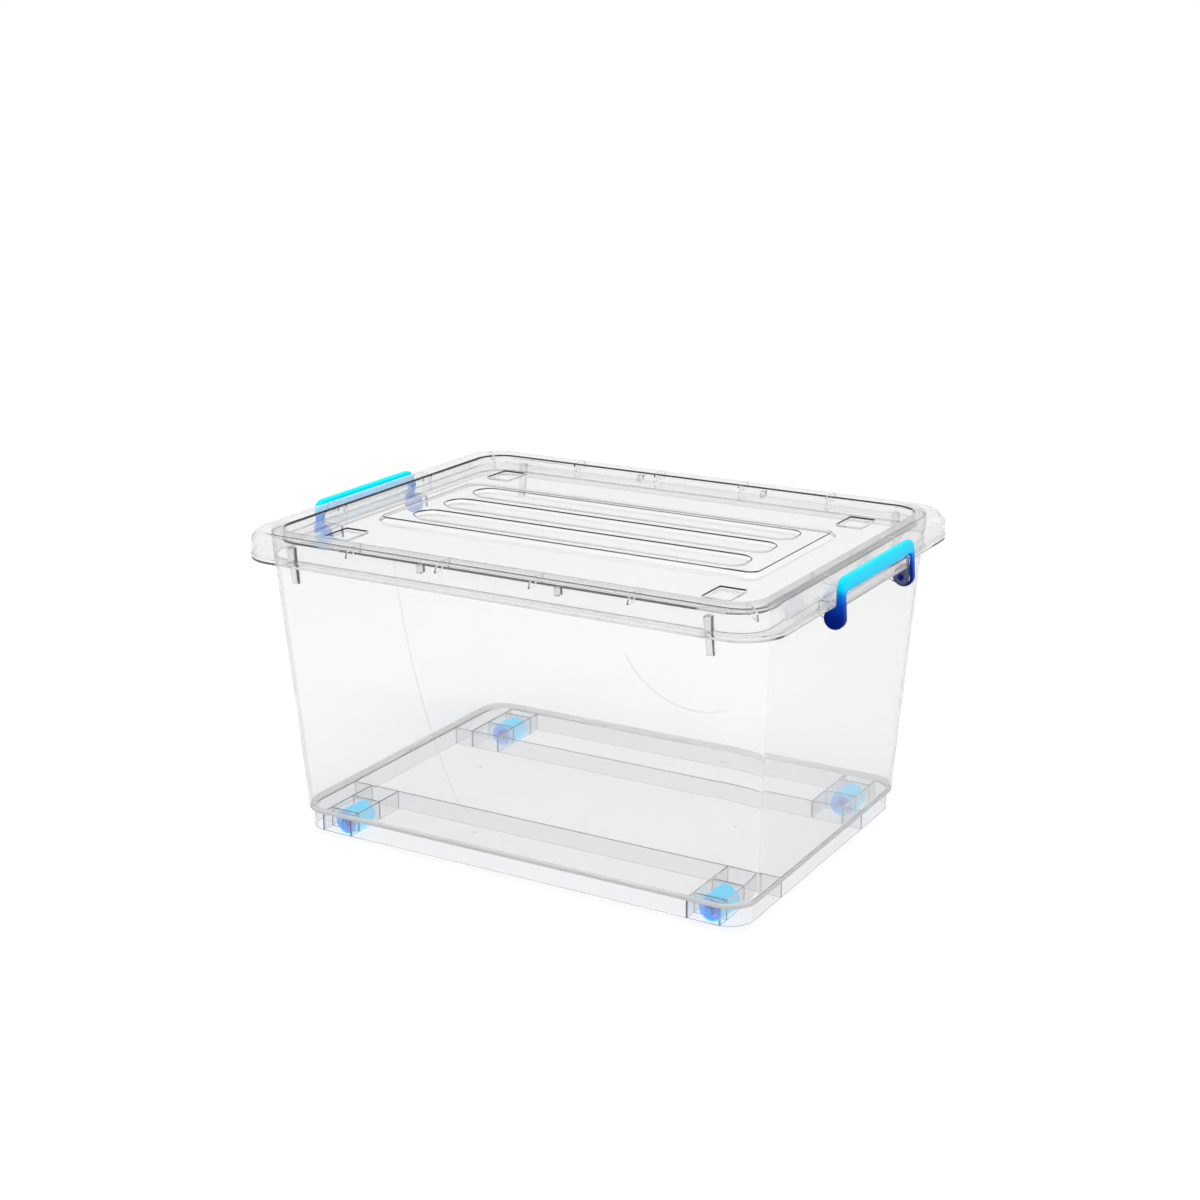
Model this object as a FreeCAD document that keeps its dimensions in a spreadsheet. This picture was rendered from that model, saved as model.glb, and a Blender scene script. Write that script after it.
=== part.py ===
import FreeCAD, Part
import os

import Sketcher

# Clear storage box that rolls on four rollers: a tub, a lift-off lid and two bail clips.
# Frame: X along the length, Y across, Z up; the origin is on the ground under the centre.

# Driving dimensions in millimetres. Levels are heights above the ground.
SIZES = [
    ("base_length", 500, "rim that stands under the floor"),
    ("base_width", 364, ""),
    ("base_corner", 26, ""),
    ("base_level", 7, "gap under the base rim when the box stands on its rollers"),
    ("base_thickness", 2.2, ""),
    ("floor_level", 27.5, "top of the floor"),
    ("floor_thickness", 1.8, ""),
    ("floor_blend", 6, "radius where the floor turns up into the walls"),
    ("foot_length", 508, "outside of the walls where they meet the floor"),
    ("foot_width", 372, ""),
    ("foot_corner", 29, ""),
    ("foot_radius", 2.5, "rounding where the walls meet the underside"),
    ("mouth_length", 542, "outside of the walls at their top edge"),
    ("mouth_width", 419, ""),
    ("mouth_corner", 32, ""),
    ("mouth_level", 319.5, ""),
    ("wall_thickness", 2.2, ""),
    ("lip_length", 580, "lower edge of the lid, the widest outline of the box"),
    ("lip_width", 456, ""),
    ("lip_corner", 45, ""),
    ("lip_level", 302, ""),
    ("lip_thickness", 2.4, ""),
    ("flange_level", 297.3, "underside of the flange round the tub"),
    ("flange_thickness", 2.2, ""),
    ("flange_inset", 0.5, "flange edge, inwards from the lid's lip"),
    ("joint_overlap", 0.8, "how far one moulded wall runs into the next"),
    ("rib_thickness", 2, ""),
    ("long_rib_offset", 95.8, "full-length ribs under the floor, from the middle"),
    ("roller_x", 209.5, "roller centre"),
    ("roller_y", 147.7, ""),
    ("roller_radius", 12.5, ""),
    ("roller_width", 33, ""),
    ("roller_edge", 1, "chamfer at the ends of the rolling face"),
    ("cup_depth", 8, "ring-shaped recess in each end of the roller"),
    ("cup_radius", 10.2, ""),
    ("boss_radius", 5.6, ""),
    ("axle_radius", 3.5, "stub axles moulded with the roller"),
    ("axle_length", 43, "tip to tip"),
    ("axle_play", 0.06, "radial running clearance of the stub axles"),
    ("throat_width", 6, "snap throat under each axle seat"),
    ("cell_length", 34, "between the cross ribs beside a roller"),
    ("bearing_spacing", 36.6, "between the middles of a roller's bearing ribs"),
    ("bearing_thickness", 2.4, ""),
    ("stop_rib_x", 227, "broad ribs that stop nested tubs from jamming"),
    ("stop_rib_width", 6.5, ""),
    ("stop_rib_low", 276, ""),
    ("stop_rib_high", 313.5, ""),
    ("stop_rib_foot", 3.5, "how far the rib stands out from the wall, at its foot"),
    ("stop_rib_head", 8, "and at its head"),
    ("lug_x", 75, "small lugs on the wall inside the lid's channel"),
    ("lug_width", 4.5, ""),
    ("lug_low", 309.5, ""),
    ("lug_high", 317.5, ""),
    ("lug_depth", 8, ""),
    ("skirt_inset", 1.6, "lid skirt, inwards from its lip"),
    ("lid_thickness", 2, ""),
    ("lid_level", 324.7, "top of the lid's rim"),
    ("shoulder_radius", 10.5, "outer shoulder of the rim"),
    ("rim_edge_radius", 1.5, "inner edge of the rim and foot of the wall under it"),
    ("well_length", 522, "sunk area inside the rim"),
    ("well_width", 398, ""),
    ("well_corner", 30, ""),
    ("panel_level", 315.5, "top of the sunk panel"),
    ("plateau_length", 433, "raised field on the panel, at its foot"),
    ("plateau_width", 187, ""),
    ("plateau_corner", 15, ""),
    ("plateau_level", 320, ""),
    ("groove_length", 378, "long round-ended grooves in the raised field"),
    ("groove_width", 36, ""),
    ("groove_pitch", 55, ""),
    ("groove_depth", 3.2, ""),
    ("nest_length", 27.5, "seats for the rollers of a box stacked on top"),
    ("nest_width", 37, ""),
    ("nest_corner", 1.4, ""),
    ("nest_depth", 2.4, ""),
    ("nest_slope", 1, "how far the seat narrows down to its floor"),
    ("web_thickness", 1.8, "webs across the lid's hollow rim"),
    ("web_near_x", 51, ""),
    ("web_far_x", 153, ""),
    ("web_side_y", 77, ""),
    ("web_low", 315, ""),
    ("web_clearance", 3, "between the webs' notches and the faces of the tub's wall"),
    ("rest_gap", 0.3, "between the tub's top edge and the webs over it"),
    ("pivot_reach", 289.4, "handle pivots, from the middle of the box"),
    ("pivot_level", 286, ""),
    ("pin_radius", 3, ""),
    ("pin_play", 0.06, "radial running clearance of the handle pins"),
    ("pin_length", 5.5, ""),
    ("ear_radius", 8, "lugs under the flange that carry the handle pins"),
    ("ear_thickness", 3.8, ""),
    ("ear_face", 78.3, "outer faces of the lugs, from the middle"),
    ("ledge_reach", 296.3, "upturned ledge between the handle's arms"),
    ("ledge_thickness", 2, ""),
    ("ledge_top", 308, ""),
    ("lobe_radius", 10.4, "round ends of the handle"),
    ("handle_width", 172.8, ""),
    ("arm_width", 7.4, ""),
    ("bar_inner", 290.8, "inner face of the closed handle, from the middle of the box"),
    ("bar_outer", 297.4, ""),
    ("bar_bottom", 311.2, ""),
    ("bar_top", 324.5, ""),
    ("bar_corner", 12, "outer corners of the handle"),
    ("window_corner", 4, "inner corners of the handle"),
    ("bar_round", 2, "rounding along the outer edges of the handle"),
    ("window_round", 0.8, "rounding along the inner edges of the handle"),
]

SIDES = (-1, 1)
QUARTER_TURN, HALF_TURN, WHOLE_TURN = 90, 180, 360

doc = FreeCAD.newDocument("wheeled_storage_box")
sheet = doc.addObject("Spreadsheet::Sheet", "dims")
for row, (alias, number, note) in enumerate(SIZES, start=1):
    sheet.set(f"A{row}", str(number))
    sheet.setAlias(f"A{row}", alias)
    sheet.set(f"B{row}", note)
doc.recompute()


# ---------------------------------------------------------------- sizes and outlines

def value(expression):
    """Number that an expression of the sheet's words stands for."""
    return float(sheet.evalExpression(str(expression)))


def outline(name, inset="0"):
    """Half length, half width and corner radius of a named outline, drawn in by an inset."""
    return (
        f"dims.{name}_length / 2 - ({inset})",
        f"dims.{name}_width / 2 - ({inset})",
        f"dims.{name}_corner - ({inset})",
    )


FOOT_LEVEL = "(dims.floor_level - dims.floor_thickness)"
UNDER_FLOOR = f"({FOOT_LEVEL} + dims.joint_overlap - dims.base_level)"
SKIRT = "dims.skirt_inset"
CHANNEL = "dims.skirt_inset + dims.lid_thickness"
CHANNEL_RADIUS = "(dims.shoulder_radius - dims.lid_thickness)"
CEILING = "(dims.lid_level - dims.lid_thickness)"
PANEL_UNDER = "(dims.panel_level - dims.lid_thickness)"
PLATEAU_UNDER = "(dims.plateau_level - dims.lid_thickness)"
SLOPE_WALL = "(dims.lid_thickness * tan(22.5 deg))"
EAR_MIDDLE = "(dims.ear_face - dims.ear_thickness / 2)"


def wall_reach(direction, level):
    """Distance from the middle of the box to the outside of the sloping wall at a level."""
    foot, mouth = f"dims.foot_{direction}", f"dims.mouth_{direction}"
    rise = f"(({level}) - {FOOT_LEVEL}) / (dims.mouth_level - {FOOT_LEVEL})"
    return f"({foot} + ({mouth} - {foot}) * {rise}) / 2"


def corner_name(side_x, side_y):
    return ("front" if side_y < 0 else "rear") + ("_left" if side_x < 0 else "_right")


# ---------------------------------------------------------------- sketches

def new_sketch(body, name, plane, offset="0", turn=0):
    """Sketch on one of the body's origin planes, moved along its normal by an expression.

    On XZ a turn swings the sketch about the vertical axis first.
    """
    sketch = body.newObject("Sketcher::SketchObject", name)
    support = next(item for item in body.Origin.OriginFeatures if item.Role == plane)
    sketch.AttachmentSupport = (support, [""])
    sketch.MapMode = "FlatFace"
    swing = FreeCAD.Rotation(FreeCAD.Vector(0, 1, 0), turn)
    normal = swing.multVec(FreeCAD.Vector(0, 0, 1))
    sketch.AttachmentOffset = FreeCAD.Placement(normal * value(offset), swing)
    sketch.setExpression("AttachmentOffset.Base.x", f"({offset}) * sin({turn} deg)")
    sketch.setExpression("AttachmentOffset.Base.z", f"({offset}) * cos({turn} deg)")
    return sketch


def bind(sketch, expression, kind, *geometry):
    """Add a sketch constraint whose value follows an expression of the sheet."""
    index = sketch.addConstraint(Sketcher.Constraint(kind, *geometry, value(expression)))
    sketch.setExpression(f"Constraints[{index}]", expression)


def add_arc(sketch, x, y, radius, start, end):
    circle = Part.Circle(FreeCAD.Vector(x, y, 0), FreeCAD.Vector(0, 0, 1), radius)
    limits = [FreeCAD.Units.Quantity(angle, "deg").getValueAs("rad").Value for angle in (start, end)]
    return sketch.addGeometry(Part.ArcOfCircle(circle, *limits))


def add_line(sketch, start, end):
    ends = (FreeCAD.Vector(*start, 0), FreeCAD.Vector(*end, 0))
    return sketch.addGeometry(Part.LineSegment(*ends))


def join_smoothly(sketch, arcs, lines):
    """Tie arcs and lines into one closed tangent outline; all arcs get one radius."""
    for index, (arc, line) in enumerate(zip(arcs, lines)):
        following = arcs[(index + 1) % len(arcs)]
        sketch.addConstraint(Sketcher.Constraint("Tangent", arc, 2, line, 1))
        sketch.addConstraint(Sketcher.Constraint("Tangent", line, 2, following, 1))
    for arc in arcs[1:]:
        sketch.addConstraint(Sketcher.Constraint("Equal", arcs[0], arc))


def add_rounded_rectangle(sketch, left, right, bottom, top, corner):
    """Rounded rectangle between four signed distances from the sketch's origin."""
    x0, x1, y0, y1, radius = (value(size) for size in (left, right, bottom, top, corner))
    inner_x0, inner_x1, inner_y0, inner_y1 = x0 + radius, x1 - radius, y0 + radius, y1 - radius
    arcs = [
        add_arc(sketch, inner_x1, inner_y1, radius, 0, 90),
        add_arc(sketch, inner_x0, inner_y1, radius, 90, 180),
        add_arc(sketch, inner_x0, inner_y0, radius, 180, 270),
        add_arc(sketch, inner_x1, inner_y0, radius, 270, 360),
    ]
    lines = [
        add_line(sketch, (inner_x1, y1), (inner_x0, y1)),
        add_line(sketch, (x0, inner_y1), (x0, inner_y0)),
        add_line(sketch, (inner_x0, y0), (inner_x1, y0)),
        add_line(sketch, (x1, inner_y0), (x1, inner_y1)),
    ]
    join_smoothly(sketch, arcs, lines)
    for line, direction in zip(lines, ("Horizontal", "Vertical") * 2):
        sketch.addConstraint(Sketcher.Constraint(direction, line))
    bind(sketch, corner, "Radius", arcs[0])
    bind(sketch, top, "DistanceY", -1, 1, lines[0], 1)
    bind(sketch, left, "DistanceX", -1, 1, lines[1], 1)
    bind(sketch, bottom, "DistanceY", -1, 1, lines[2], 1)
    bind(sketch, right, "DistanceX", -1, 1, lines[3], 1)


def add_outline(sketch, sizes, centre=("0", "0")):
    """Rounded rectangle given by half length, half width and corner, round a centre."""
    half_length, half_width, corner = sizes
    x, y = centre
    add_rounded_rectangle(
        sketch,
        f"{x} - ({half_length})", f"{x} + {half_length}",
        f"{y} - ({half_width})", f"{y} + {half_width}",
        corner,
    )


def add_stadium(sketch, y, half_length, half_width):
    """Round-ended slot along X."""
    centre_y, reach, radius = value(y), value(half_length), value(half_width)
    centre_x = reach - radius
    arcs = [
        add_arc(sketch, centre_x, centre_y, radius, -90, 90),
        add_arc(sketch, -centre_x, centre_y, radius, 90, 270),
    ]
    lines = [
        add_line(sketch, (centre_x, centre_y + radius), (-centre_x, centre_y + radius)),
        add_line(sketch, (-centre_x, centre_y - radius), (centre_x, centre_y - radius)),
    ]
    join_smoothly(sketch, arcs, lines)
    sketch.addConstraint(Sketcher.Constraint("Horizontal", lines[0]))
    bind(sketch, half_width, "Radius", arcs[0])
    bind(sketch, f"{y} + {half_width}", "DistanceY", -1, 1, lines[0], 1)
    bind(sketch, f"{half_length} - ({half_width})", "DistanceX", -1, 1, lines[0], 1)
    bind(sketch, f"-({half_length} - ({half_width}))", "DistanceX", -1, 1, lines[0], 2)


def add_polygon(sketch, points):
    """Closed polygon; each corner is a pair of expressions."""
    corners = [tuple(value(part) for part in point) for point in points]
    first = sketch.GeometryCount
    count = len(points)
    for index in range(count):
        add_line(sketch, corners[index], corners[(index + 1) % count])
    for index in range(count):
        following = first + (index + 1) % count
        sketch.addConstraint(Sketcher.Constraint("Coincident", first + index, 2, following, 1))
    for index, (x, y) in enumerate(points):
        if x == "0":
            sketch.addConstraint(Sketcher.Constraint("PointOnObject", first + index, 1, -2))
        else:
            bind(sketch, x, "DistanceX", -1, 1, first + index, 1)
        bind(sketch, y, "DistanceY", -1, 1, first + index, 1)


def add_box(sketch, x, y, size_x, size_y):
    """Rectangle round a centre, with square corners."""
    west, east = f"{x} - ({size_x}) / 2", f"{x} + ({size_x}) / 2"
    south, north = f"{y} - ({size_y}) / 2", f"{y} + ({size_y}) / 2"
    add_polygon(sketch, [(west, south), (east, south), (east, north), (west, north)])


def add_circle(sketch, x, y, radius):
    centre = FreeCAD.Vector(value(x), value(y), 0)
    index = sketch.addGeometry(Part.Circle(centre, FreeCAD.Vector(0, 0, 1), value(radius)))
    bind(sketch, radius, "Radius", index)
    bind(sketch, x, "DistanceX", -1, 1, index, 3)
    bind(sketch, y, "DistanceY", -1, 1, index, 3)


# ---------------------------------------------------------------- features

def new_body(label):
    body = doc.addObject("PartDesign::Body", label)
    body.Label = label
    return body


def volume(body):
    return body.Shape.Volume if body.Tip and not body.Shape.isNull() else 0


def finish_feature(body, feature, grows):
    """Recompute and make sure that the feature added or removed material."""
    before = volume(body)
    body.Tip = feature
    doc.recompute()
    change = volume(body) - before
    if not feature.isValid() or (change > 0) != grows or abs(change) < 0.1:
        raise RuntimeError(f"{feature.Label} changed the volume by {change:.2f}")
    return feature


def extrude(body, sketch, length, cut=False, back=False, both=False):
    """Pad or pocket a sketch along its normal, against it (back) or evenly both ways."""
    kind = "PartDesign::Pocket" if cut else "PartDesign::Pad"
    feature = body.newObject(kind, sketch.Name + ("_cut" if cut else "_pad"))
    feature.Profile = sketch
    feature.Type = "Length"
    feature.setExpression("Length", length)
    feature.SideType = "Symmetric" if both else "One side"
    feature.Reversed = back != cut
    return finish_feature(body, feature, grows=not cut)


def loft(body, name, sections, cut=False):
    kind = "PartDesign::SubtractiveLoft" if cut else "PartDesign::AdditiveLoft"
    feature = body.newObject(kind, name)
    feature.Profile = sections[0]
    feature.Sections = sections[1:]
    feature.Ruled = True
    return finish_feature(body, feature, grows=not cut)


def fillet(body, name, radius, chosen, grows):
    """Round the edges of the body's last feature that a test picks out."""
    base = body.Tip
    names = [f"Edge{i}" for i, edge in enumerate(base.Shape.Edges, start=1) if chosen(edge)]
    feature = body.newObject("PartDesign::Fillet", name)
    feature.Base = (base, names)
    feature.setExpression("Radius", radius)
    return finish_feature(body, feature, grows)


def level_edge(level, half_length, half_width):
    """Test for an edge that lies flat at a level, near an outline of that half size."""
    height, reach_x, reach_y = value(level), value(half_length), value(half_width)
    slack = 0.6

    def chosen(edge):
        box = edge.BoundBox
        flat = abs(box.ZMin - height) < 0.01 and abs(box.ZMax - height) < 0.01
        far_x = max(abs(box.XMin), abs(box.XMax))
        far_y = max(abs(box.YMin), abs(box.YMax))
        inside = far_x < reach_x + slack and far_y < reach_y + slack
        return flat and inside and (far_x > reach_x - slack or far_y > reach_y - slack)

    return chosen


def side_edge(distance, least_rise):
    """Test for an edge in a vertical plane at that distance to the front or rear.

    Edges that rise by less than the given amount don't count.
    """
    side, rise = value(distance), value(least_rise)

    def chosen(edge):
        box = edge.BoundBox
        in_plane = all(abs(abs(y) - side) < 0.01 for y in (box.YMin, box.YMax))
        return in_plane and box.ZLength > rise

    return chosen


def level_sketch(body, name, level, *outlines):
    """Horizontal sketch at a level with one or more nested rounded rectangles."""
    sketch = new_sketch(body, name, "XY_Plane", level)
    for sizes in outlines:
        add_outline(sketch, sizes)
    return sketch


# ---------------------------------------------------------------- tub

def tub_shell(body):
    outside = [
        level_sketch(body, "wall_foot", FOOT_LEVEL, outline("foot")),
        level_sketch(body, "wall_mouth", "dims.mouth_level", outline("mouth")),
    ]
    loft(body, "wall_outside", outside)
    thickness = "dims.wall_thickness"
    foot_inside = outline("foot", thickness)
    inside = [
        level_sketch(body, "inner_foot", "dims.floor_level", foot_inside),
        level_sketch(body, "inner_mouth", "dims.mouth_level", outline("mouth", thickness)),
    ]
    loft(body, "wall_inside", inside, cut=True)
    floor_edge = level_edge("dims.floor_level", *foot_inside[:2])
    fillet(body, "floor_fillet", "dims.floor_blend", floor_edge, grows=True)
    foot_edge = level_edge(FOOT_LEVEL, *outline("foot")[:2])
    fillet(body, "foot_fillet", "dims.foot_radius", foot_edge, grows=False)


def tub_base(body):
    """Base rim, the ribs under the floor and the seats for the rollers' stub axles."""
    rim = level_sketch(
        body, "base_rim", "dims.base_level",
        outline("base"), outline("base", "dims.base_thickness"),
    )
    extrude(body, rim, UNDER_FLOOR)

    long_ribs = new_sketch(body, "long_ribs", "XY_Plane", "dims.base_level")
    for side in SIDES:
        add_box(
            long_ribs, "0", f"{side} * dims.long_rib_offset",
            "dims.base_length - dims.base_thickness", "dims.rib_thickness",
        )
    extrude(body, long_ribs, UNDER_FLOOR)

    cross_ribs = new_sketch(body, "cross_ribs", "XY_Plane", "dims.base_level")
    bearing_ribs = new_sketch(body, "bearing_ribs", "XY_Plane", "dims.base_level")
    reach_out = "(dims.base_width / 2 - dims.base_thickness / 2)"
    for side_y in SIDES:
        middle_y = f"{side_y} * ({reach_out} + dims.long_rib_offset) / 2"
        for side_x in SIDES:
            for end in SIDES:
                rib_x = f"{side_x} * dims.roller_x + {end} * dims.cell_length / 2"
                rib_y = f"{side_y} * dims.roller_y + {end} * dims.bearing_spacing / 2"
                add_box(
                    cross_ribs, rib_x, middle_y,
                    "dims.rib_thickness", f"{reach_out} - dims.long_rib_offset",
                )
                add_box(
                    bearing_ribs, f"{side_x} * dims.roller_x", rib_y,
                    "dims.cell_length", "dims.bearing_thickness",
                )
    extrude(body, cross_ribs, UNDER_FLOOR)
    extrude(body, bearing_ribs, UNDER_FLOOR)

    seat_radius = "dims.axle_radius + dims.axle_play"
    cut_length = "dims.bearing_spacing + 3 * dims.bearing_thickness"
    for side_y in SIDES:
        place = "front" if side_y < 0 else "rear"
        seats = new_sketch(body, f"{place}_seats", "XZ_Plane", f"{-side_y} * dims.roller_y")
        throats = new_sketch(body, f"{place}_throats", "XZ_Plane", f"{-side_y} * dims.roller_y")
        for side_x in SIDES:
            add_circle(seats, f"{side_x} * dims.roller_x", "dims.roller_radius", seat_radius)
            add_box(
                throats, f"{side_x} * dims.roller_x", "dims.roller_radius / 2",
                "dims.throat_width", "dims.roller_radius",
            )
        extrude(body, seats, cut_length, cut=True, both=True)
        extrude(body, throats, cut_length, cut=True, both=True)


def tub_flange(body):
    wall_line = (
        f"{wall_reach('length', 'dims.flange_level')} - dims.joint_overlap",
        f"{wall_reach('width', 'dims.flange_level')} - dims.joint_overlap",
        "dims.mouth_corner",
    )
    flange = level_sketch(
        body, "flange", "dims.flange_level", outline("lip", "dims.flange_inset"), wall_line,
    )
    extrude(body, flange, "dims.flange_thickness")


def wall_ribs(body, name, x, width, foot, head):
    """Ribs at one x on the outside of both long walls.

    Foot and head each give a level and how far the rib stands out from the wall there.
    """
    sketch = new_sketch(body, name, "YZ_Plane", x)
    root = "dims.joint_overlap"
    for side in SIDES:
        corners = []
        for (level, proud), order in ((foot, 1), (head, -1)):
            wall = wall_reach("width", level)
            ends = [
                (f"{side} * ({wall} - {root})", level),
                (f"{side} * ({wall} + {proud})", level),
            ]
            corners += ends[::order]
        add_polygon(sketch, corners)
    extrude(body, sketch, width, both=True)


def tub_wall_details(body):
    rib_foot = ("dims.stop_rib_low", "dims.stop_rib_foot")
    rib_head = ("dims.stop_rib_high", "dims.stop_rib_head")
    lug_foot = ("dims.lug_low", "dims.lug_depth")
    lug_head = ("dims.lug_high", "dims.lug_depth")
    for side, place in zip(SIDES, ("left", "right")):
        rib_x, lug_x = f"{side} * dims.stop_rib_x", f"{side} * dims.lug_x"
        wall_ribs(body, f"{place}_stop_rib", rib_x, "dims.stop_rib_width", rib_foot, rib_head)
        wall_ribs(body, f"{place}_lug", lug_x, "dims.lug_width", lug_foot, lug_head)


def tub_handle_mounts(body):
    """Under the flange at each short side: two lugs with pin holes and a ledge between them."""
    root = f"({wall_reach('length', 'dims.pivot_level')} - dims.joint_overlap)"
    top = "dims.flange_level + dims.joint_overlap"
    low = "dims.pivot_level - dims.ear_radius"
    for side_y in SIDES:
        place = "front" if side_y < 0 else "rear"
        middle = f"{-side_y} * ({EAR_MIDDLE})"
        webs = new_sketch(body, f"{place}_ear_webs", "XZ_Plane", middle)
        ears = new_sketch(body, f"{place}_ears", "XZ_Plane", middle)
        holes = new_sketch(body, f"{place}_pin_holes", "XZ_Plane", middle)
        for side_x in SIDES:
            add_polygon(webs, [
                (f"{side_x} * {root}", "dims.pivot_level"),
                (f"{side_x} * dims.pivot_reach", low),
                (f"{side_x} * dims.ledge_reach", "dims.pivot_level"),
                (f"{side_x} * dims.ledge_reach", top),
                (f"{side_x} * {root}", top),
            ])
            pivot = (f"{side_x} * dims.pivot_reach", "dims.pivot_level")
            add_circle(ears, *pivot, "dims.ear_radius")
            add_circle(holes, *pivot, "dims.pin_radius + dims.pin_play")
        extrude(body, webs, "dims.ear_thickness", both=True)
        extrude(body, ears, "dims.ear_thickness", both=True)
        extrude(body, holes, "2 * dims.ear_thickness", cut=True, both=True)

    ledges = new_sketch(body, "ledges", "XZ_Plane")
    shelf_top = "dims.flange_level + dims.flange_thickness"
    start = "(dims.lip_length / 2 - dims.flange_inset - dims.joint_overlap)"
    inner_face = "(dims.ledge_reach - dims.ledge_thickness)"
    for side in SIDES:
        add_polygon(ledges, [
            (f"{side} * {start}", "dims.flange_level"),
            (f"{side} * dims.ledge_reach", "dims.flange_level"),
            (f"{side} * dims.ledge_reach", "dims.ledge_top"),
            (f"{side} * {inner_face}", "dims.ledge_top"),
            (f"{side} * {inner_face}", shelf_top),
            (f"{side} * {start}", shelf_top),
        ])
    extrude(body, ledges, "2 * dims.ear_face", both=True)


def make_tub():
    body = new_body("tub")
    tub_shell(body)
    tub_base(body)
    tub_flange(body)
    tub_wall_details(body)
    tub_handle_mounts(body)
    return body


# ---------------------------------------------------------------- lid

def lid_rim(body):
    """Hollow rim: lip, skirt, rounded shoulder and the wall down to the sunk panel."""
    block = level_sketch(body, "lid_block", "dims.lip_level", outline("lip", SKIRT))
    extrude(body, block, "dims.lid_level - dims.lip_level")
    lip = level_sketch(body, "lip", "dims.lip_level", outline("lip"), outline("lip", CHANNEL))
    extrude(body, lip, "dims.lip_thickness")

    underside = level_sketch(body, "underside", "dims.lip_level", outline("lip", CHANNEL))
    extrude(body, underside, f"{PANEL_UNDER} - dims.lip_level", cut=True)
    channel = level_sketch(
        body, "channel", PANEL_UNDER, outline("lip", CHANNEL), outline("well", "-dims.lid_thickness"),
    )
    extrude(body, channel, f"{CEILING} - {PANEL_UNDER}", cut=True)
    channel_edge = level_edge(CEILING, *outline("lip", CHANNEL)[:2])
    fillet(body, "channel_fillet", CHANNEL_RADIUS, channel_edge, grows=True)
    top_edge = level_edge("dims.lid_level", *outline("lip", SKIRT)[:2])
    fillet(body, "shoulder", "dims.shoulder_radius", top_edge, grows=False)

    well = level_sketch(body, "well", "dims.lid_level", outline("well"))
    extrude(body, well, "dims.lid_level - dims.panel_level", cut=True, back=True)
    well_edge = level_edge("dims.lid_level", *outline("well")[:2])
    fillet(body, "rim_edge", "dims.rim_edge_radius", well_edge, grows=False)
    well_root = level_edge("dims.panel_level", *outline("well")[:2])
    fillet(body, "well_root", "dims.rim_edge_radius", well_root, grows=True)


def lid_plateau(body):
    """Raised field with sloping sides, hollow underneath, and long grooves sunk in it."""
    rise = "(dims.plateau_level - dims.panel_level)"
    foot_level = "dims.panel_level - dims.joint_overlap"
    outside = [
        level_sketch(body, "plateau_foot", foot_level, outline("plateau", "-dims.joint_overlap")),
        level_sketch(body, "plateau_top", "dims.plateau_level", outline("plateau", rise)),
    ]
    loft(body, "plateau", outside)
    hollow = [
        level_sketch(body, "hollow_foot", PANEL_UNDER, outline("plateau", SLOPE_WALL)),
        level_sketch(body, "hollow_top", PLATEAU_UNDER, outline("plateau", f"{rise} + {SLOPE_WALL}")),
    ]
    loft(body, "plateau_hollow", hollow, cut=True)
    for index, place in ((-1, "front"), (0, "middle"), (1, "rear")):
        lid_groove(body, f"{place}_groove", f"({index}) * dims.groove_pitch")


def lid_groove(body, name, y):
    """Round-ended groove with sloping sides and the trough of even thickness under it."""
    half_length, half_width = "dims.groove_length / 2", "dims.groove_width / 2"
    trough_top = f"{PLATEAU_UNDER} + dims.joint_overlap"
    trough_floor = f"{PLATEAU_UNDER} - dims.groove_depth"
    trough = [
        ("trough_top", trough_top, f"-({SLOPE_WALL}) - dims.joint_overlap"),
        ("trough_floor", trough_floor, f"dims.groove_depth - {SLOPE_WALL}"),
    ]
    groove = [
        ("top", "dims.plateau_level", "0"),
        ("floor", "dims.plateau_level - dims.groove_depth", "dims.groove_depth"),
    ]
    for levels, cut in ((trough, False), (groove, True)):
        sections = []
        for part, level, inset in levels:
            section = new_sketch(body, f"{name}_{part}", "XY_Plane", level)
            add_stadium(section, y, f"{half_length} - ({inset})", f"{half_width} - ({inset})")
            sections.append(section)
        loft(body, name + ("_cut" if cut else "_trough"), sections, cut=cut)


def lid_nests(body):
    """Shallow seats over the rollers, so that a second box can stand on the lid."""
    shell = [
        ("shell_top", f"{PANEL_UNDER} + dims.joint_overlap", f"-{SLOPE_WALL}"),
        ("shell_floor", f"{PANEL_UNDER} - dims.nest_depth", f"dims.nest_slope - {SLOPE_WALL}"),
    ]
    seat = [
        ("top", "dims.panel_level", "0"),
        ("floor", "dims.panel_level - dims.nest_depth", "dims.nest_slope"),
    ]
    for side_x in SIDES:
        for side_y in SIDES:
            centre = (f"({side_x}) * dims.roller_x", f"({side_y}) * dims.roller_y")
            name = corner_name(side_x, side_y)
            for levels, cut in ((shell, False), (seat, True)):
                sections = []
                for part, level, inset in levels:
                    section = new_sketch(body, f"{name}_nest_{part}", "XY_Plane", level)
                    add_outline(section, outline("nest", inset), centre)
                    sections.append(section)
                loft(body, f"{name}_nest" + ("_cut" if cut else "_shell"), sections, cut=cut)


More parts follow.
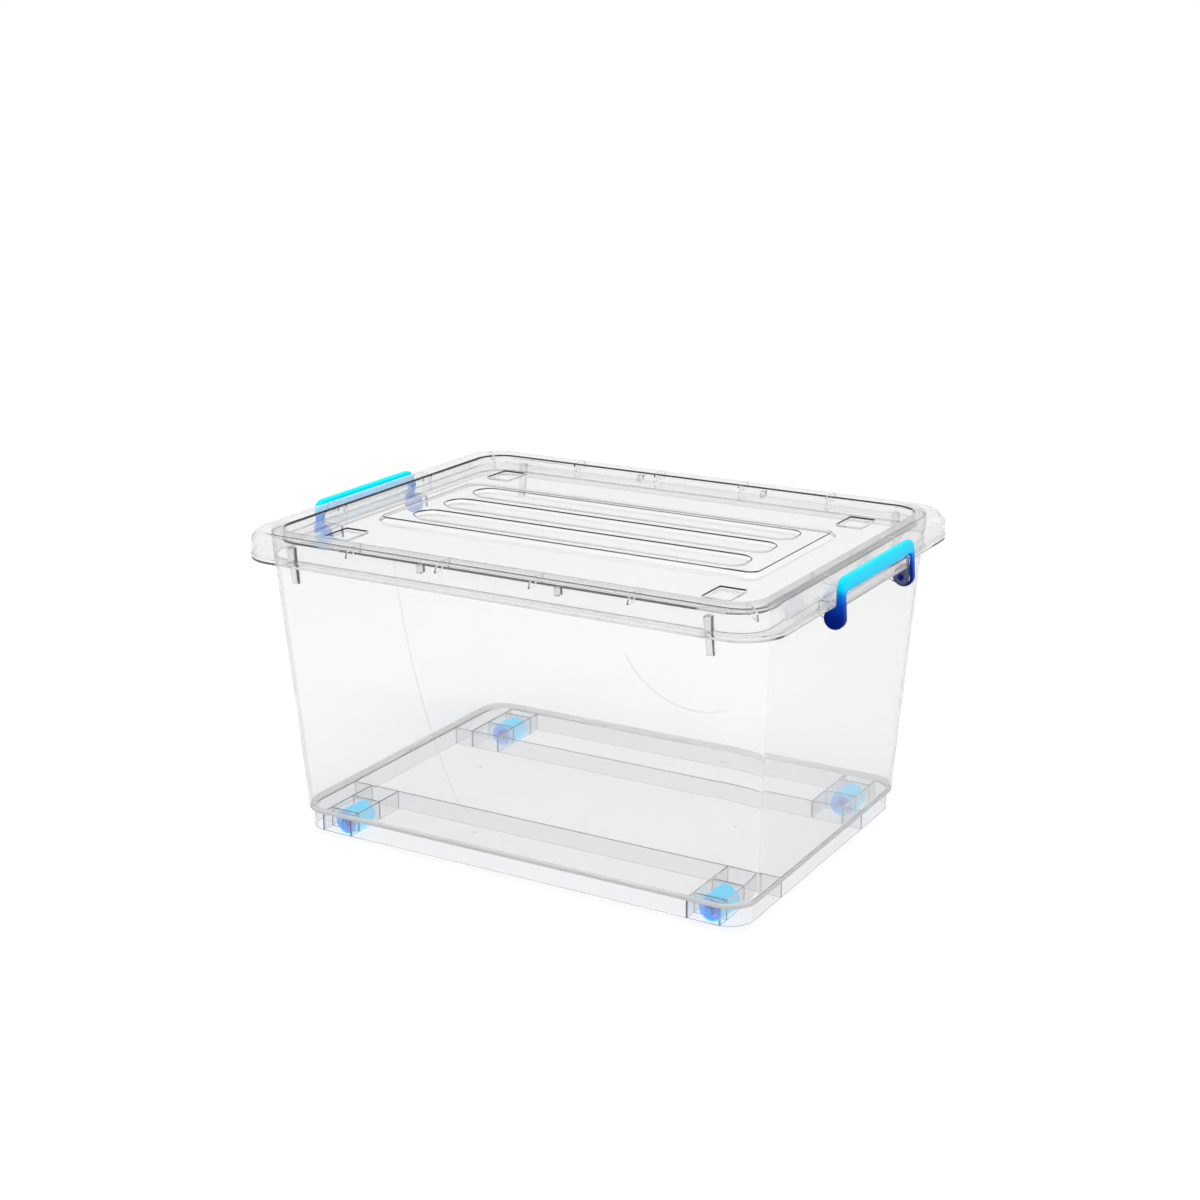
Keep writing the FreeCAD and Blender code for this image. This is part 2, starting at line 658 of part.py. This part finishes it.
def lid_web(body, name, turn, offset, reach):
    """Web across the hollow rim, notched over the tub's top edge that it rests on.

    The reach gives the distance of the well, mouth and lip outlines along the web.
    """
    sketch = new_sketch(body, name, "XZ_Plane", offset, turn)
    inner = f"({reach('well')}) + dims.lid_thickness - dims.joint_overlap"
    outer = f"({reach('lip')}) - ({CHANNEL}) + dims.joint_overlap"
    bend = f"({outer}) - dims.joint_overlap - {CHANNEL_RADIUS}"
    bend_level = f"{CEILING} - {CHANNEL_RADIUS}"
    diagonal = f"({CHANNEL_RADIUS} + dims.joint_overlap) * sqrt(0.5)"
    notch_outer = f"({reach('mouth')}) + dims.web_clearance"
    notch_inner = f"({reach('mouth')}) - dims.wall_thickness - dims.web_clearance"
    notch_top = "dims.mouth_level + dims.rest_gap"
    low = "dims.panel_level - dims.lid_thickness / 2"
    add_polygon(sketch, [
        (inner, f"{CEILING} + dims.joint_overlap"),
        (bend, f"{CEILING} + dims.joint_overlap"),
        (f"({bend}) + {diagonal}", f"{bend_level} + {diagonal}"),
        (outer, bend_level),
        (outer, "dims.web_low"),
        (notch_outer, "dims.web_low"),
        (notch_outer, notch_top),
        (notch_inner, notch_top),
        (notch_inner, low),
        (inner, low),
    ])
    extrude(body, sketch, "dims.web_thickness", both=True)


def along(direction):
    """Reach of an outline straight along the box's length or width."""
    return lambda name: f"dims.{name}_{direction} / 2"


def diagonally(name):
    """Reach of an outline through the middle of its corner arc."""
    half_sum = f"(dims.{name}_length + dims.{name}_width) / 2"
    return f"({half_sum} - 2 * dims.{name}_corner) * sqrt(0.5) + dims.{name}_corner"


def lid_webs(body):
    for side, place in zip(SIDES, ("front", "rear")):
        for index, spot in enumerate(("-1 * dims.web_far_x", "-1 * dims.web_near_x",
                                      "dims.web_near_x", "dims.web_far_x"), start=1):
            offset = f"({side}) * {spot}"
            lid_web(body, f"{place}_web_{index}", side * QUARTER_TURN, offset, along("width"))
    for place, turn in (("right", 0), ("left", HALF_TURN)):
        for side in SIDES:
            end = "front" if side < 0 else "rear"
            offset = f"({side}) * dims.web_side_y"
            lid_web(body, f"{place}_{end}_web", turn, offset, along("length"))
    off_centre = "(dims.mouth_length - dims.mouth_width) / 2 * sqrt(0.5)"
    for side_x in SIDES:
        for side_y in SIDES:
            turn = side_y * (QUARTER_TURN / 2 if side_x > 0 else 3 * QUARTER_TURN / 2)
            offset = f"({side_x * side_y}) * {off_centre}"
            lid_web(body, f"{corner_name(side_x, side_y)}_web", turn, offset, diagonally)


def make_lid():
    body = new_body("lid")
    lid_rim(body)
    lid_plateau(body)
    lid_nests(body)
    lid_webs(body)
    return body


# ---------------------------------------------------------------- handles and rollers

def make_handle(label):
    """Bail clip at the +X side, closed: two arms on round pivots, joined by a grip bar."""
    body = new_body(label)
    lobes = new_sketch(body, f"{label}_lobes", "XZ_Plane")
    add_circle(lobes, "dims.pivot_reach", "dims.pivot_level", "dims.lobe_radius")
    extrude(body, lobes, "dims.handle_width", both=True)
    arms = new_sketch(body, f"{label}_arms", "XZ_Plane")
    add_polygon(arms, [
        ("dims.bar_inner", "dims.pivot_level"),
        ("dims.pivot_reach + dims.lobe_radius", "dims.pivot_level"),
        ("dims.bar_outer", "dims.bar_top"),
        ("dims.bar_inner", "dims.bar_top"),
    ])
    extrude(body, arms, "dims.handle_width", both=True)

    half_window = "(dims.handle_width / 2 - dims.arm_width)"
    window = new_sketch(body, f"{label}_window", "YZ_Plane", "dims.pivot_reach")
    add_rounded_rectangle(
        window, f"-{half_window}", half_window,
        "dims.pivot_level - 2 * dims.lobe_radius", "dims.bar_bottom", "dims.window_corner",
    )
    extrude(body, window, "4 * dims.lobe_radius", cut=True, both=True)

    for side in SIDES:
        place = "front" if side < 0 else "rear"
        pin = new_sketch(body, f"{label}_{place}_pin", "XZ_Plane", f"{-side} * {half_window}")
        add_circle(pin, "dims.pivot_reach", "dims.pivot_level", "dims.pin_radius")
        extrude(body, pin, "dims.pin_length", back=side < 0)

    top, half_width = value("dims.bar_top"), value("dims.handle_width / 2")

    def outer_corner(edge):
        box = edge.BoundBox
        across = box.YLength < 0.01 and box.ZLength < 0.01
        return across and abs(box.ZMin - top) < 0.01 and abs(abs(box.YMin) - half_width) < 0.01

    fillet(body, f"{label}_corners", "dims.bar_corner", outer_corner, grows=False)
    outside = side_edge("dims.handle_width / 2", "dims.arm_width")
    fillet(body, f"{label}_outer_rounding", "dims.bar_round", outside, grows=False)
    inside = side_edge(half_window, "dims.arm_width")
    fillet(body, f"{label}_inner_rounding", "dims.window_round", inside, grows=False)
    return body


def make_roller(label):
    """Roller on its own stub axles, turned about the Y axis through its centre."""
    body = new_body(label)
    profile = new_sketch(body, f"{label}_profile", "XY_Plane")
    half, tip = "dims.roller_width / 2", "dims.axle_length / 2"
    edge = "dims.roller_edge"
    side = [
        ("0", tip),
        (f"dims.axle_radius - {edge} / 2", tip),
        ("dims.axle_radius", f"{tip} - {edge} / 2"),
        ("dims.axle_radius", half),
        ("dims.boss_radius", half),
        ("dims.boss_radius", f"{half} - dims.cup_depth"),
        ("dims.cup_radius", f"{half} - dims.cup_depth"),
        ("dims.cup_radius", half),
        (f"dims.roller_radius - {edge}", half),
        ("dims.roller_radius", f"{half} - {edge}"),
    ]
    mirrored = [(radius, f"-({along})") for radius, along in reversed(side)]
    add_polygon(profile, side + mirrored)
    turned = body.newObject("PartDesign::Revolution", f"{label}_turned")
    turned.Profile = profile
    turned.ReferenceAxis = (profile, ["V_Axis"])
    turned.Angle = WHOLE_TURN
    finish_feature(body, turned, grows=True)
    return body


# ---------------------------------------------------------------- the whole box

tub = make_tub()
lid = make_lid()
handle_right = make_handle("handle_right")
handle_left = make_handle("handle_left")
across = FreeCAD.Rotation(FreeCAD.Vector(0, 0, 1), HALF_TURN)
handle_left.Placement = FreeCAD.Placement(FreeCAD.Vector(), across)

pieces = [tub, lid, handle_right, handle_left]
for side_x in SIDES:
    for side_y in SIDES:
        roller = make_roller("roller_" + corner_name(side_x, side_y))
        roller.setExpression("Placement.Base.x", f"({side_x}) * dims.roller_x")
        roller.setExpression("Placement.Base.y", f"({side_y}) * dims.roller_y")
        roller.setExpression("Placement.Base.z", "dims.roller_radius")
        pieces.append(roller)
doc.recompute()

for item in doc.Objects:
    if "Invalid" in item.State or "Error" in item.State:
        raise RuntimeError(f"{item.Label} did not compute")

os.makedirs("parts", exist_ok=True)
for piece in pieces:
    if piece.Shape.isNull() or not piece.Shape.isValid() or len(piece.Shape.Solids) != 1:
        raise RuntimeError(f"{piece.Label} is not one valid solid")
    piece.Shape.exportStep(f"parts/{piece.Label}.step")
    print(piece.Label, round(piece.Shape.Volume), piece.Shape.BoundBox)
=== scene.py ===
import math

import bpy
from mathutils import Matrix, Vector


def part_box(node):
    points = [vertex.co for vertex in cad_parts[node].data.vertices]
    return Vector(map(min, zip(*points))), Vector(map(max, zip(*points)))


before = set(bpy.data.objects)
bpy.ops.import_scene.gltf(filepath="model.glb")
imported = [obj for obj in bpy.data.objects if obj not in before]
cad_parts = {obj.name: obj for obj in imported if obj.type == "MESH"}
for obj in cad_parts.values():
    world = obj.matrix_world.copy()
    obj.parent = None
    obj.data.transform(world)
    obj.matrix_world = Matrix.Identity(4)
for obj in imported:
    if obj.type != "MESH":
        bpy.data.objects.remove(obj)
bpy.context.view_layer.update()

scene = bpy.context.scene

# ---------------------------------------------------------------- camera

FOCAL_LENGTH_PX = 2079.8
IMAGE_PX = 1200
SENSOR_MM = 36.0
CAMERA_PLACE = Vector((1.00635, -1.75082, 0.83758))
CAMERA_YAW = 30.0
CAMERA_PITCH = 16.5
CLIP_END = 50


def add_camera():
    data = bpy.data.cameras.new("camera")
    data.sensor_width = SENSOR_MM
    data.lens = FOCAL_LENGTH_PX / IMAGE_PX * SENSOR_MM
    data.clip_end = CLIP_END
    camera = bpy.data.objects.new("camera", data)
    scene.collection.objects.link(camera)
    camera.location = CAMERA_PLACE
    camera.rotation_euler = (math.radians(90 - CAMERA_PITCH), 0, math.radians(CAMERA_YAW))
    scene.camera = camera


# ---------------------------------------------------------------- materials

# Clear plastic. A tint is the grey that the base colour has, and a noise is its scale and detail.
LID_TINT = 0.99
LID_IOR = 1.3
LID_TRANSMISSION = 0.985
TUB_TINT = 0.99
TUB_IOR = 1.35
TUB_TRANSMISSION = 0.95
# Painted shade: the grey that upright surfaces seen edge on are darkened to.
EDGE_PAINTED_SHADE = 0.6
EDGE_FACING = (0.5, 0.95)
UPRIGHT_NORMAL = 0.5
UPRIGHT_FADE = 0.1
TINT_DRIFT = 0.012
TINT_NOISE = (7.0, 3.0)
CLEAR_ROUGHNESS = (0.0, 0.02)
GLOSS_NOISE = (18.0, 5.0)
MATT_ROUGHNESS = 0.08
RIPPLE_NOISE = (26.0, 1.0)
RIPPLE_HEIGHT = 0.00001
GRAIN_NOISE = (900.0, 2.0)
GRAIN_HEIGHT = 0.000001
ABSORBED = (0.0, 0.0, 0.0)
ABSORPTION = 9.0

# Matt band along the top of the lid's rim, darkened with painted shade at the front and on the
# right. Places and sizes are in metres from here on.
WELL_HALF = (0.261, 0.199)
WELL_CORNER = 0.030
RIM_BAND = (-0.0004, 0.0135)
RIM_BAND_LEVELS = (0.3221, 0.3252)
RIM_BAND_FADE = 0.01
RIM_BAND_PAINTED_SHADE = 0.86

# Matt ribs and lugs on the tub's long walls, darkened with painted shade: distance from the middle,
# half width and levels.
WALL_RIBS = [
    (0.227, 0.0034, (0.2755, 0.314)),
    (0.075, 0.0024, (0.3093, 0.3177)),
]
WALL_SIDE_Y = 0.19
RIB_PAINTED_SHADE = 0.84

# Frosted foot of the tub's walls.
FOOT_HALF = (0.254, 0.186)
FOOT_CORNER = 0.029
FOOT_BAND = (-0.006, 0.002)
FOOT_LEVELS = (0.0257, 0.032)
FOOT_TRANSMISSION = 0.55
FOOT_ROUGHNESS = 0.4

# Slightly milky base rim and ribs under the floor.
BASE_TOP = 0.0253
BASE_TRANSMISSION = 0.91
BASE_TINT = (0.975, 0.97, 0.99)

# Fine marks: arcs on the front wall, centred in x and z, and gate marks on the floor.
SCRATCHES = [
    {"centre": (0.584, 0.3429), "radius": 0.6926, "levels": (0.07, 0.318), "half_width": 0.0004},
    {"centre": (0.2095, 0.2972), "radius": 0.0781, "levels": (0.215, 0.262), "half_width": 0.0006},
]
SCRATCH_FADE = 0.004
SCRATCH_SIDE = 0.02
FRONT_WALL_Y = -0.184
GATE_MARKS = [(-0.156, 0.005), (-0.062, -0.149), (0.062, 0.149), (0.156, -0.005)]
GATE_LEVEL = 0.0257
GATE_LAYER = (0.0247, 0.0287)
GATE_RADIUS = 0.003
MARK_TINT = 0.82

# Blue plastic. The ramps run up a handle and outwards from a roller's axis. Up a handle they are
# painted light and shade: deep blue low down, cyan at the top where the light falls.
BLUE_PAINTED_LIGHT_RAMP = [
    (0.0, (0.0, 0.010, 0.16)),
    (0.25, (0.0, 0.016, 0.26)),
    (0.5, (0.0, 0.06, 0.52)),
    (0.68, (0.0, 0.22, 0.84)),
    (0.78, (0.0, 0.66, 1.0)),
    (1.0, (0.0, 0.76, 1.0)),
]
# Painted light for the left handle: its own ramp up the height, and a painted glow standing in for
# light from behind.
BACKLIT_PAINTED_RAMP = [
    (0.0, (0.02, 0.38, 0.88)),
    (0.25, (0.0, 0.22, 0.82)),
    (0.5, (0.0, 0.16, 0.75)),
    (0.68, (0.0, 0.3, 0.9)),
    (0.78, (0.0, 0.5, 1.0)),
    (1.0, (0.0, 0.76, 1.0)),
]
BACKLIT_PAINTED_GLOW = 0.45
# Out from the roller's axis: lighter at the hub, darkest in a ring round it, brightest at the rim.
ROLLER_RAMP = [
    (0.0, (0.0, 0.3, 0.7)),
    (0.26, (0.0, 0.2, 0.6)),
    (0.3, (0.0, 0.04, 0.3)),
    (0.44, (0.0, 0.06, 0.38)),
    (0.5, (0.0, 0.2, 0.68)),
    (0.8, (0.0, 0.3, 0.8)),
    (0.93, (0.0, 0.64, 1.0)),
]
# Painted glow: the rollers give off light that stands in for the light reaching them through the
# plastic.
ROLLER_PAINTED_GLOW = 0.7
ROLLER_AXIS = (0.2095, 0.0125)
ROLLER_RADIUS = 0.0125
MOTTLE_NOISE = (60.0, 4.0)
MOTTLE_SHADE = (0.94, 1.0)
SCUFF_NOISE = (140.0, 6.0)
BLUE_ROUGHNESS = (0.3, 0.42)
BLUE_SPECULAR = 0.06
BLUE_GRAIN_NOISE = (1500.0, 2.0)
BLUE_GRAIN_HEIGHT = 0.00001

# A bound that lies outside the part on every side, and half the width of a mask's soft edge.
FAR = 1.0
SOFT_EDGE = 0.0003


class Nodes:
    """Short way to add shader nodes to one material and link them."""

    def __init__(self, name):
        self.material = bpy.data.materials.new(name)
        self.material.use_nodes = True
        self.tree = self.material.node_tree
        self.shader = self.tree.nodes["Principled BSDF"]
        self.output = self.tree.nodes["Material Output"]
        self.place = self.add("TexCoord").outputs["Object"]

    def add(self, kind, links=None, **settings):
        """Add a node; a setting is the node's own property or the value of an input."""
        node = self.tree.nodes.new("ShaderNode" + kind)
        for key, value in settings.items():
            if hasattr(node, key):
                setattr(node, key, value)
            else:
                node.inputs[key].default_value = value
        for socket, source in (links or {}).items():
            self.feed(source, node.inputs[socket])
        return node

    def feed(self, source, socket):
        """Link an output to a socket, or set the socket where the source is a plain value."""
        if isinstance(source, bpy.types.NodeSocket):
            self.tree.links.new(source, socket)
        else:
            socket.default_value = source

    def set(self, **values):
        """Feed the shader's inputs, named with underscores."""
        for key, value in values.items():
            self.feed(value, self.shader.inputs[key.replace("_", " ")])

    def math(self, operation, *terms):
        node = self.add("Math", operation=operation)
        for socket, term in zip(node.inputs, terms):
            self.feed(term, socket)
        return node.outputs["Value"]

    def vector(self, operation, *terms):
        node = self.add("VectorMath", operation=operation)
        for socket, term in zip(node.inputs, terms):
            self.feed(term, socket)
        return node.outputs["Value" if operation == "LENGTH" else "Vector"]

    def axes(self, place=None):
        split = self.add("SeparateXYZ", {"Vector": place or self.place})
        return [split.outputs[axis] for axis in "XYZ"]

    def noise(self, scale, detail):
        links = {"Vector": self.place, "Scale": scale, "Detail": detail}
        return self.add("TexNoise", links).outputs["Fac"]

    def remap(self, source, low, high, start=0.0, end=1.0):
        links = {"Value": source, "From Min": start, "From Max": end, "To Min": low, "To Max": high}
        return self.add("MapRange", links).outputs["Result"]

    def within(self, source, low, high, soft=SOFT_EDGE):
        """One between two values, zero outside them."""
        rise = self.remap(source, 0.0, 1.0, low - soft, low + soft)
        fall = self.remap(source, 1.0, 0.0, high - soft, high + soft)
        return self.math("MULTIPLY", rise, fall)

    def distance(self, first, first_middle, second, second_middle):
        """Distance from a line that runs square to the two axes given."""
        offset = self.add("CombineXYZ", {
            "X": self.math("SUBTRACT", first, first_middle),
            "Y": 0.0,
            "Z": self.math("SUBTRACT", second, second_middle),
        })
        return self.vector("LENGTH", offset.outputs["Vector"])

    def blend(self, factor, first, second):
        node = self.add("Mix", data_type="FLOAT")
        for socket, source in zip(("Factor", "A", "B"), (factor, first, second)):
            self.feed(source, node.inputs[socket])
        return node.outputs["Result"]

    def multiply_colour(self, factor, first, second):
        """The first colour, multiplied by the second as far as the factor says."""
        node = self.add("Mix", data_type="RGBA", blend_type="MULTIPLY")
        inputs = [socket for socket in node.inputs if socket.type == "RGBA"]
        for socket, source in zip((node.inputs["Factor"], *inputs), (factor, first, second)):
            self.feed(source, socket)
        return next(socket for socket in node.outputs if socket.type == "RGBA")

    def ramp(self, factor, stops):
        node = self.add("ValToRGB", {"Fac": factor})
        fill_ramp(node, stops)
        return node.outputs["Color"]

    def grey(self, value):
        links = {"Red": value, "Green": value, "Blue": value}
        return self.add("CombineColor", links).outputs["Color"]

    def bump(self, height, distance, onto=None):
        links = {"Height": height, "Distance": distance}
        if onto:
            links["Normal"] = onto
        return self.add("Bump", links).outputs["Normal"]


def fill_ramp(node, stops):
    elements = node.color_ramp.elements
    while len(elements) < len(stops):
        elements.new(0.5)
    for element, (position, colour) in zip(elements, stops):
        element.position = position
        element.color = (*colour, 1)


def rounded_distance(made, half, corner):
    """Distance outside an upright rounded box round the middle of the part."""
    inner = (half[0] - corner, half[1] - corner, 10 * FAR)
    folded = made.vector("ABSOLUTE", made.place)
    beyond = made.vector("MAXIMUM", made.vector("SUBTRACT", folded, inner), (0, 0, 0))
    return made.math("SUBTRACT", made.vector("LENGTH", beyond), corner)


def rim_band_matt_and_shade_mask(made):
    """The flat band along the top of the lid's rim, at the front and on the right, made matt and
    darkened with painted shade.
    """
    x, y, z = made.axes()
    beside = made.within(rounded_distance(made, WELL_HALF, WELL_CORNER), *RIM_BAND)
    front = made.within(y, -FAR, WELL_CORNER - WELL_HALF[1], RIM_BAND_FADE)
    right = made.within(x, WELL_HALF[0] - WELL_CORNER, FAR, RIM_BAND_FADE)
    band = made.math("MULTIPLY", beside, made.within(z, *RIM_BAND_LEVELS))
    return made.math("MULTIPLY", band, made.math("MAXIMUM", front, right))


def wall_rib_matt_and_shade_mask(made):
    """The broad ribs and the small lugs on the tub's long walls, made matt and darkened with
    painted shade.
    """
    x, y, z = made.axes(made.vector("ABSOLUTE", made.place))
    masks = []
    for middle, half_width, levels in WALL_RIBS:
        beside = made.within(x, middle - half_width, middle + half_width)
        masks.append(made.math("MULTIPLY", beside, made.within(z, *levels)))
    outside = made.within(y, WALL_SIDE_Y, FAR)
    return made.math("MULTIPLY", made.math("MAXIMUM", *masks), outside)


def foot_mask(made):
    """The rounded foot of the tub's walls, all the way round."""
    beside = made.within(rounded_distance(made, FOOT_HALF, FOOT_CORNER), *FOOT_BAND)
    return made.math("MULTIPLY", beside, made.within(made.axes()[2], *FOOT_LEVELS))


def base_mask(made):
    """The base rim and the ribs under the floor."""
    return made.within(made.axes()[2], -FAR, BASE_TOP)


def scratch_mask(made):
    """The part of each circle that lies to the left of its centre, on the front wall."""
    x, y, z = made.axes()
    marks = []
    for scratch in SCRATCHES:
        centre_x, centre_z = scratch["centre"]
        radius, half_width = scratch["radius"], scratch["half_width"]
        reach = made.distance(x, centre_x, z, centre_z)
        line = made.within(reach, radius - half_width, radius + half_width)
        leftward = made.within(x, -FAR, centre_x + SCRATCH_SIDE, SCRATCH_SIDE)
        levels = made.within(z, *scratch["levels"], SCRATCH_FADE)
        marks.append(made.math("MULTIPLY", made.math("MULTIPLY", line, leftward), levels))
    front = made.within(y, -FAR, FRONT_WALL_Y)
    return made.math("MULTIPLY", made.math("MAXIMUM", *marks), front)


def mark_mask(made):
    """Two fine curved scratches on the front wall and the gate marks on the floor."""
    joined = scratch_mask(made)
    on_floor = made.within(made.axes()[2], *GATE_LAYER)
    for mark_x, mark_y in GATE_MARKS:
        offset = made.vector("SUBTRACT", made.place, (mark_x, mark_y, GATE_LEVEL))
        dot = made.within(made.vector("LENGTH", offset), -FAR, GATE_RADIUS)
        joined = made.math("MAXIMUM", joined, made.math("MULTIPLY", dot, on_floor))
    return joined


def painted_edge_shade_mask(made):
    """Upright surfaces seen nearly edge on, which get painted shade so the clear plastic's edges
    look grey.
    """
    facing = made.add("LayerWeight", Blend=0.5).outputs["Facing"]
    _, _, up = made.axes(made.vector("ABSOLUTE", made.add("TexCoord").outputs["Normal"]))
    upright = made.within(up, -FAR, UPRIGHT_NORMAL, UPRIGHT_FADE)
    return made.math("MULTIPLY", made.remap(facing, 0.0, 1.0, *EDGE_FACING), upright)


def clear_finish(made, tint, matt_and_shade, matt_painted_shade):
    """Clear moulded plastic with ripples and fine grain.

    Gives back its tint and roughness, both drifting faintly. The matt_and_shade details are rougher
    and darkened with painted shade, and upright surfaces seen edge on get painted shade too.
    """
    shade = made.remap(made.noise(*TINT_NOISE), tint - TINT_DRIFT, tint + TINT_DRIFT)
    # Painted shade on upright surfaces seen edge on.
    shade = made.blend(painted_edge_shade_mask(made), shade, EDGE_PAINTED_SHADE)
    # Painted shade on the matt details.
    shade = made.blend(matt_and_shade, shade, matt_painted_shade)
    gloss = made.remap(made.noise(*GLOSS_NOISE), *CLEAR_ROUGHNESS)
    gloss = made.blend(matt_and_shade, gloss, MATT_ROUGHNESS)
    ripples = made.bump(made.noise(*RIPPLE_NOISE), RIPPLE_HEIGHT)
    made.set(Normal=made.bump(made.noise(*GRAIN_NOISE), GRAIN_HEIGHT, ripples))
    depth = made.add("VolumeAbsorption", Color=(*ABSORBED, 1), Density=ABSORPTION)
    made.feed(depth.outputs["Volume"], made.output.inputs["Volume"])
    return shade, gloss


def lid_plastic():
    made = Nodes("clear_lid")
    shade, gloss = clear_finish(made, LID_TINT, rim_band_matt_and_shade_mask(made), RIM_BAND_PAINTED_SHADE)
    made.set(
        Base_Color=made.grey(shade), Roughness=gloss, IOR=LID_IOR,
        Transmission_Weight=LID_TRANSMISSION,
    )
    return made.material


def tub_plastic():
    """Clear plastic with fine marks, a frosted foot and slightly milky ribs below."""
    made = Nodes("clear_tub")
    shade, gloss = clear_finish(made, TUB_TINT, wall_rib_matt_and_shade_mask(made), RIB_PAINTED_SHADE)
    shade = made.grey(made.blend(mark_mask(made), shade, MARK_TINT))
    foot, base = foot_mask(made), base_mask(made)
    clarity = made.blend(base, TUB_TRANSMISSION, BASE_TRANSMISSION)
    made.set(
        Base_Color=made.multiply_colour(base, shade, (*BASE_TINT, 1)), IOR=TUB_IOR,
        Roughness=made.blend(foot, gloss, FOOT_ROUGHNESS),
        Transmission_Weight=made.blend(foot, clarity, FOOT_TRANSMISSION),
    )
    return made.material


def blue_finish(made, colour, painted_glow):
    """Opaque moulded plastic: mottled a little, finely grained, with scuffed gloss, and a painted
    glow where one is given.
    """
    mottle = made.remap(made.noise(*MOTTLE_NOISE), *MOTTLE_SHADE)
    shade = made.vector("SCALE", colour)
    made.feed(mottle, shade.node.inputs["Scale"])
    gloss = made.remap(made.noise(*SCUFF_NOISE), *BLUE_ROUGHNESS)
    grain = made.bump(made.noise(*BLUE_GRAIN_NOISE), BLUE_GRAIN_HEIGHT)
    made.set(
        Base_Color=shade, Roughness=gloss, Specular_IOR_Level=BLUE_SPECULAR, Normal=grain,
    )
    # Painted light: the part glows in its own colour though it is no lamp.
    if painted_glow:
        made.set(Emission_Color=shade, Emission_Strength=painted_glow)


def handle_plastic(node, stops, painted_glow=0.0):
    made = Nodes("blue_" + node)
    low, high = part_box(node)
    # Painted light and shade: the colour ramp runs up the handle's height.
    height = made.remap(made.axes()[2], 0.0, 1.0, low.z, high.z)
    blue_finish(made, made.ramp(height, stops), painted_glow)
    return made.material


def roller_plastic():
    made = Nodes("blue_roller")
    across, _, height = made.axes(made.vector("ABSOLUTE", made.place))
    reach = made.distance(across, ROLLER_AXIS[0], height, ROLLER_AXIS[1])
    colour = made.ramp(made.math("DIVIDE", reach, ROLLER_RADIUS), ROLLER_RAMP)
    blue_finish(made, colour, ROLLER_PAINTED_GLOW)
    return made.material


def dress_frame():
    looks = {
        "tub": tub_plastic(),
        "lid": lid_plastic(),
        "handle_right": handle_plastic("handle_right", BLUE_PAINTED_LIGHT_RAMP),
        "handle_left": handle_plastic("handle_left", BACKLIT_PAINTED_RAMP, BACKLIT_PAINTED_GLOW),
    }
    roller = roller_plastic()
    for name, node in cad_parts.items():
        node.data.materials.clear()
        node.data.materials.append(looks.get(name, roller))


# ---------------------------------------------------------------- floor and light

FLOOR_BASE = 0.25
FLOOR_ROUGHNESS = 0.9
FLOOR_GLOW = 0.83
FLOOR_RADIUS = 40.0
FLOOR_SIDES = 96
SKY_RAMP = [(0.5, 1.0), (0.53, 1.0), (0.62, 0.85), (0.75, 0.6), (1.0, 0.45)]
SOFTBOX_PLACE = (0.3, -0.4, 2.2)
SOFTBOX_SIZE = (1.6, 1.2)
SOFTBOX_POWER = 30
SOFTBOX_AIM = Vector((0, 0, 0.15))
LIGHT_BOUNCES = 32


def add_floor():
    mesh = bpy.data.meshes.new("studio_floor")
    ring = [2 * math.pi * step / FLOOR_SIDES for step in range(FLOOR_SIDES)]
    vertices = [
        (FLOOR_RADIUS * math.cos(angle), FLOOR_RADIUS * math.sin(angle), 0) for angle in ring
    ]
    mesh.from_pydata(vertices, [], [tuple(range(FLOOR_SIDES))])
    floor = bpy.data.objects.new("studio_floor", mesh)
    scene.collection.objects.link(floor)
    made = Nodes("pale_floor")
    made.set(
        Base_Color=(FLOOR_BASE, FLOOR_BASE, FLOOR_BASE, 1), Roughness=FLOOR_ROUGHNESS,
        Emission_Color=(1, 1, 1, 1), Emission_Strength=FLOOR_GLOW,
    )
    mesh.materials.append(made.material)


def add_world():
    """Even studio light: white round the horizon, greyer towards the ceiling."""
    world = bpy.data.worlds.new("studio")
    scene.world = world
    world.use_nodes = True
    nodes, links = world.node_tree.nodes, world.node_tree.links
    place = nodes.new("ShaderNodeTexCoord")
    split = nodes.new("ShaderNodeSeparateXYZ")
    links.new(place.outputs["Generated"], split.inputs["Vector"])
    height = nodes.new("ShaderNodeMapRange")
    height.inputs["From Min"].default_value = -1
    links.new(split.outputs["Z"], height.inputs["Value"])
    ramp = nodes.new("ShaderNodeValToRGB")
    fill_ramp(ramp, [(position, (grey, grey, grey)) for position, grey in SKY_RAMP])
    links.new(height.outputs["Result"], ramp.inputs["Fac"])
    links.new(ramp.outputs["Color"], nodes["Background"].inputs["Color"])


def add_softbox():
    data = bpy.data.lights.new("top_softbox", "AREA")
    data.shape = "RECTANGLE"
    data.size, data.size_y = SOFTBOX_SIZE
    data.energy = SOFTBOX_POWER
    light = bpy.data.objects.new("top_softbox", data)
    scene.collection.objects.link(light)
    light.location = SOFTBOX_PLACE
    towards = SOFTBOX_AIM - Vector(SOFTBOX_PLACE)
    light.rotation_euler = towards.to_track_quat("-Z", "Y").to_euler()


add_camera()
dress_frame()
add_floor()
add_world()
add_softbox()
scene.view_settings.view_transform = "Standard"
scene.cycles.max_bounces = LIGHT_BOUNCES
scene.cycles.transmission_bounces = LIGHT_BOUNCES
scene.cycles.transparent_max_bounces = LIGHT_BOUNCES
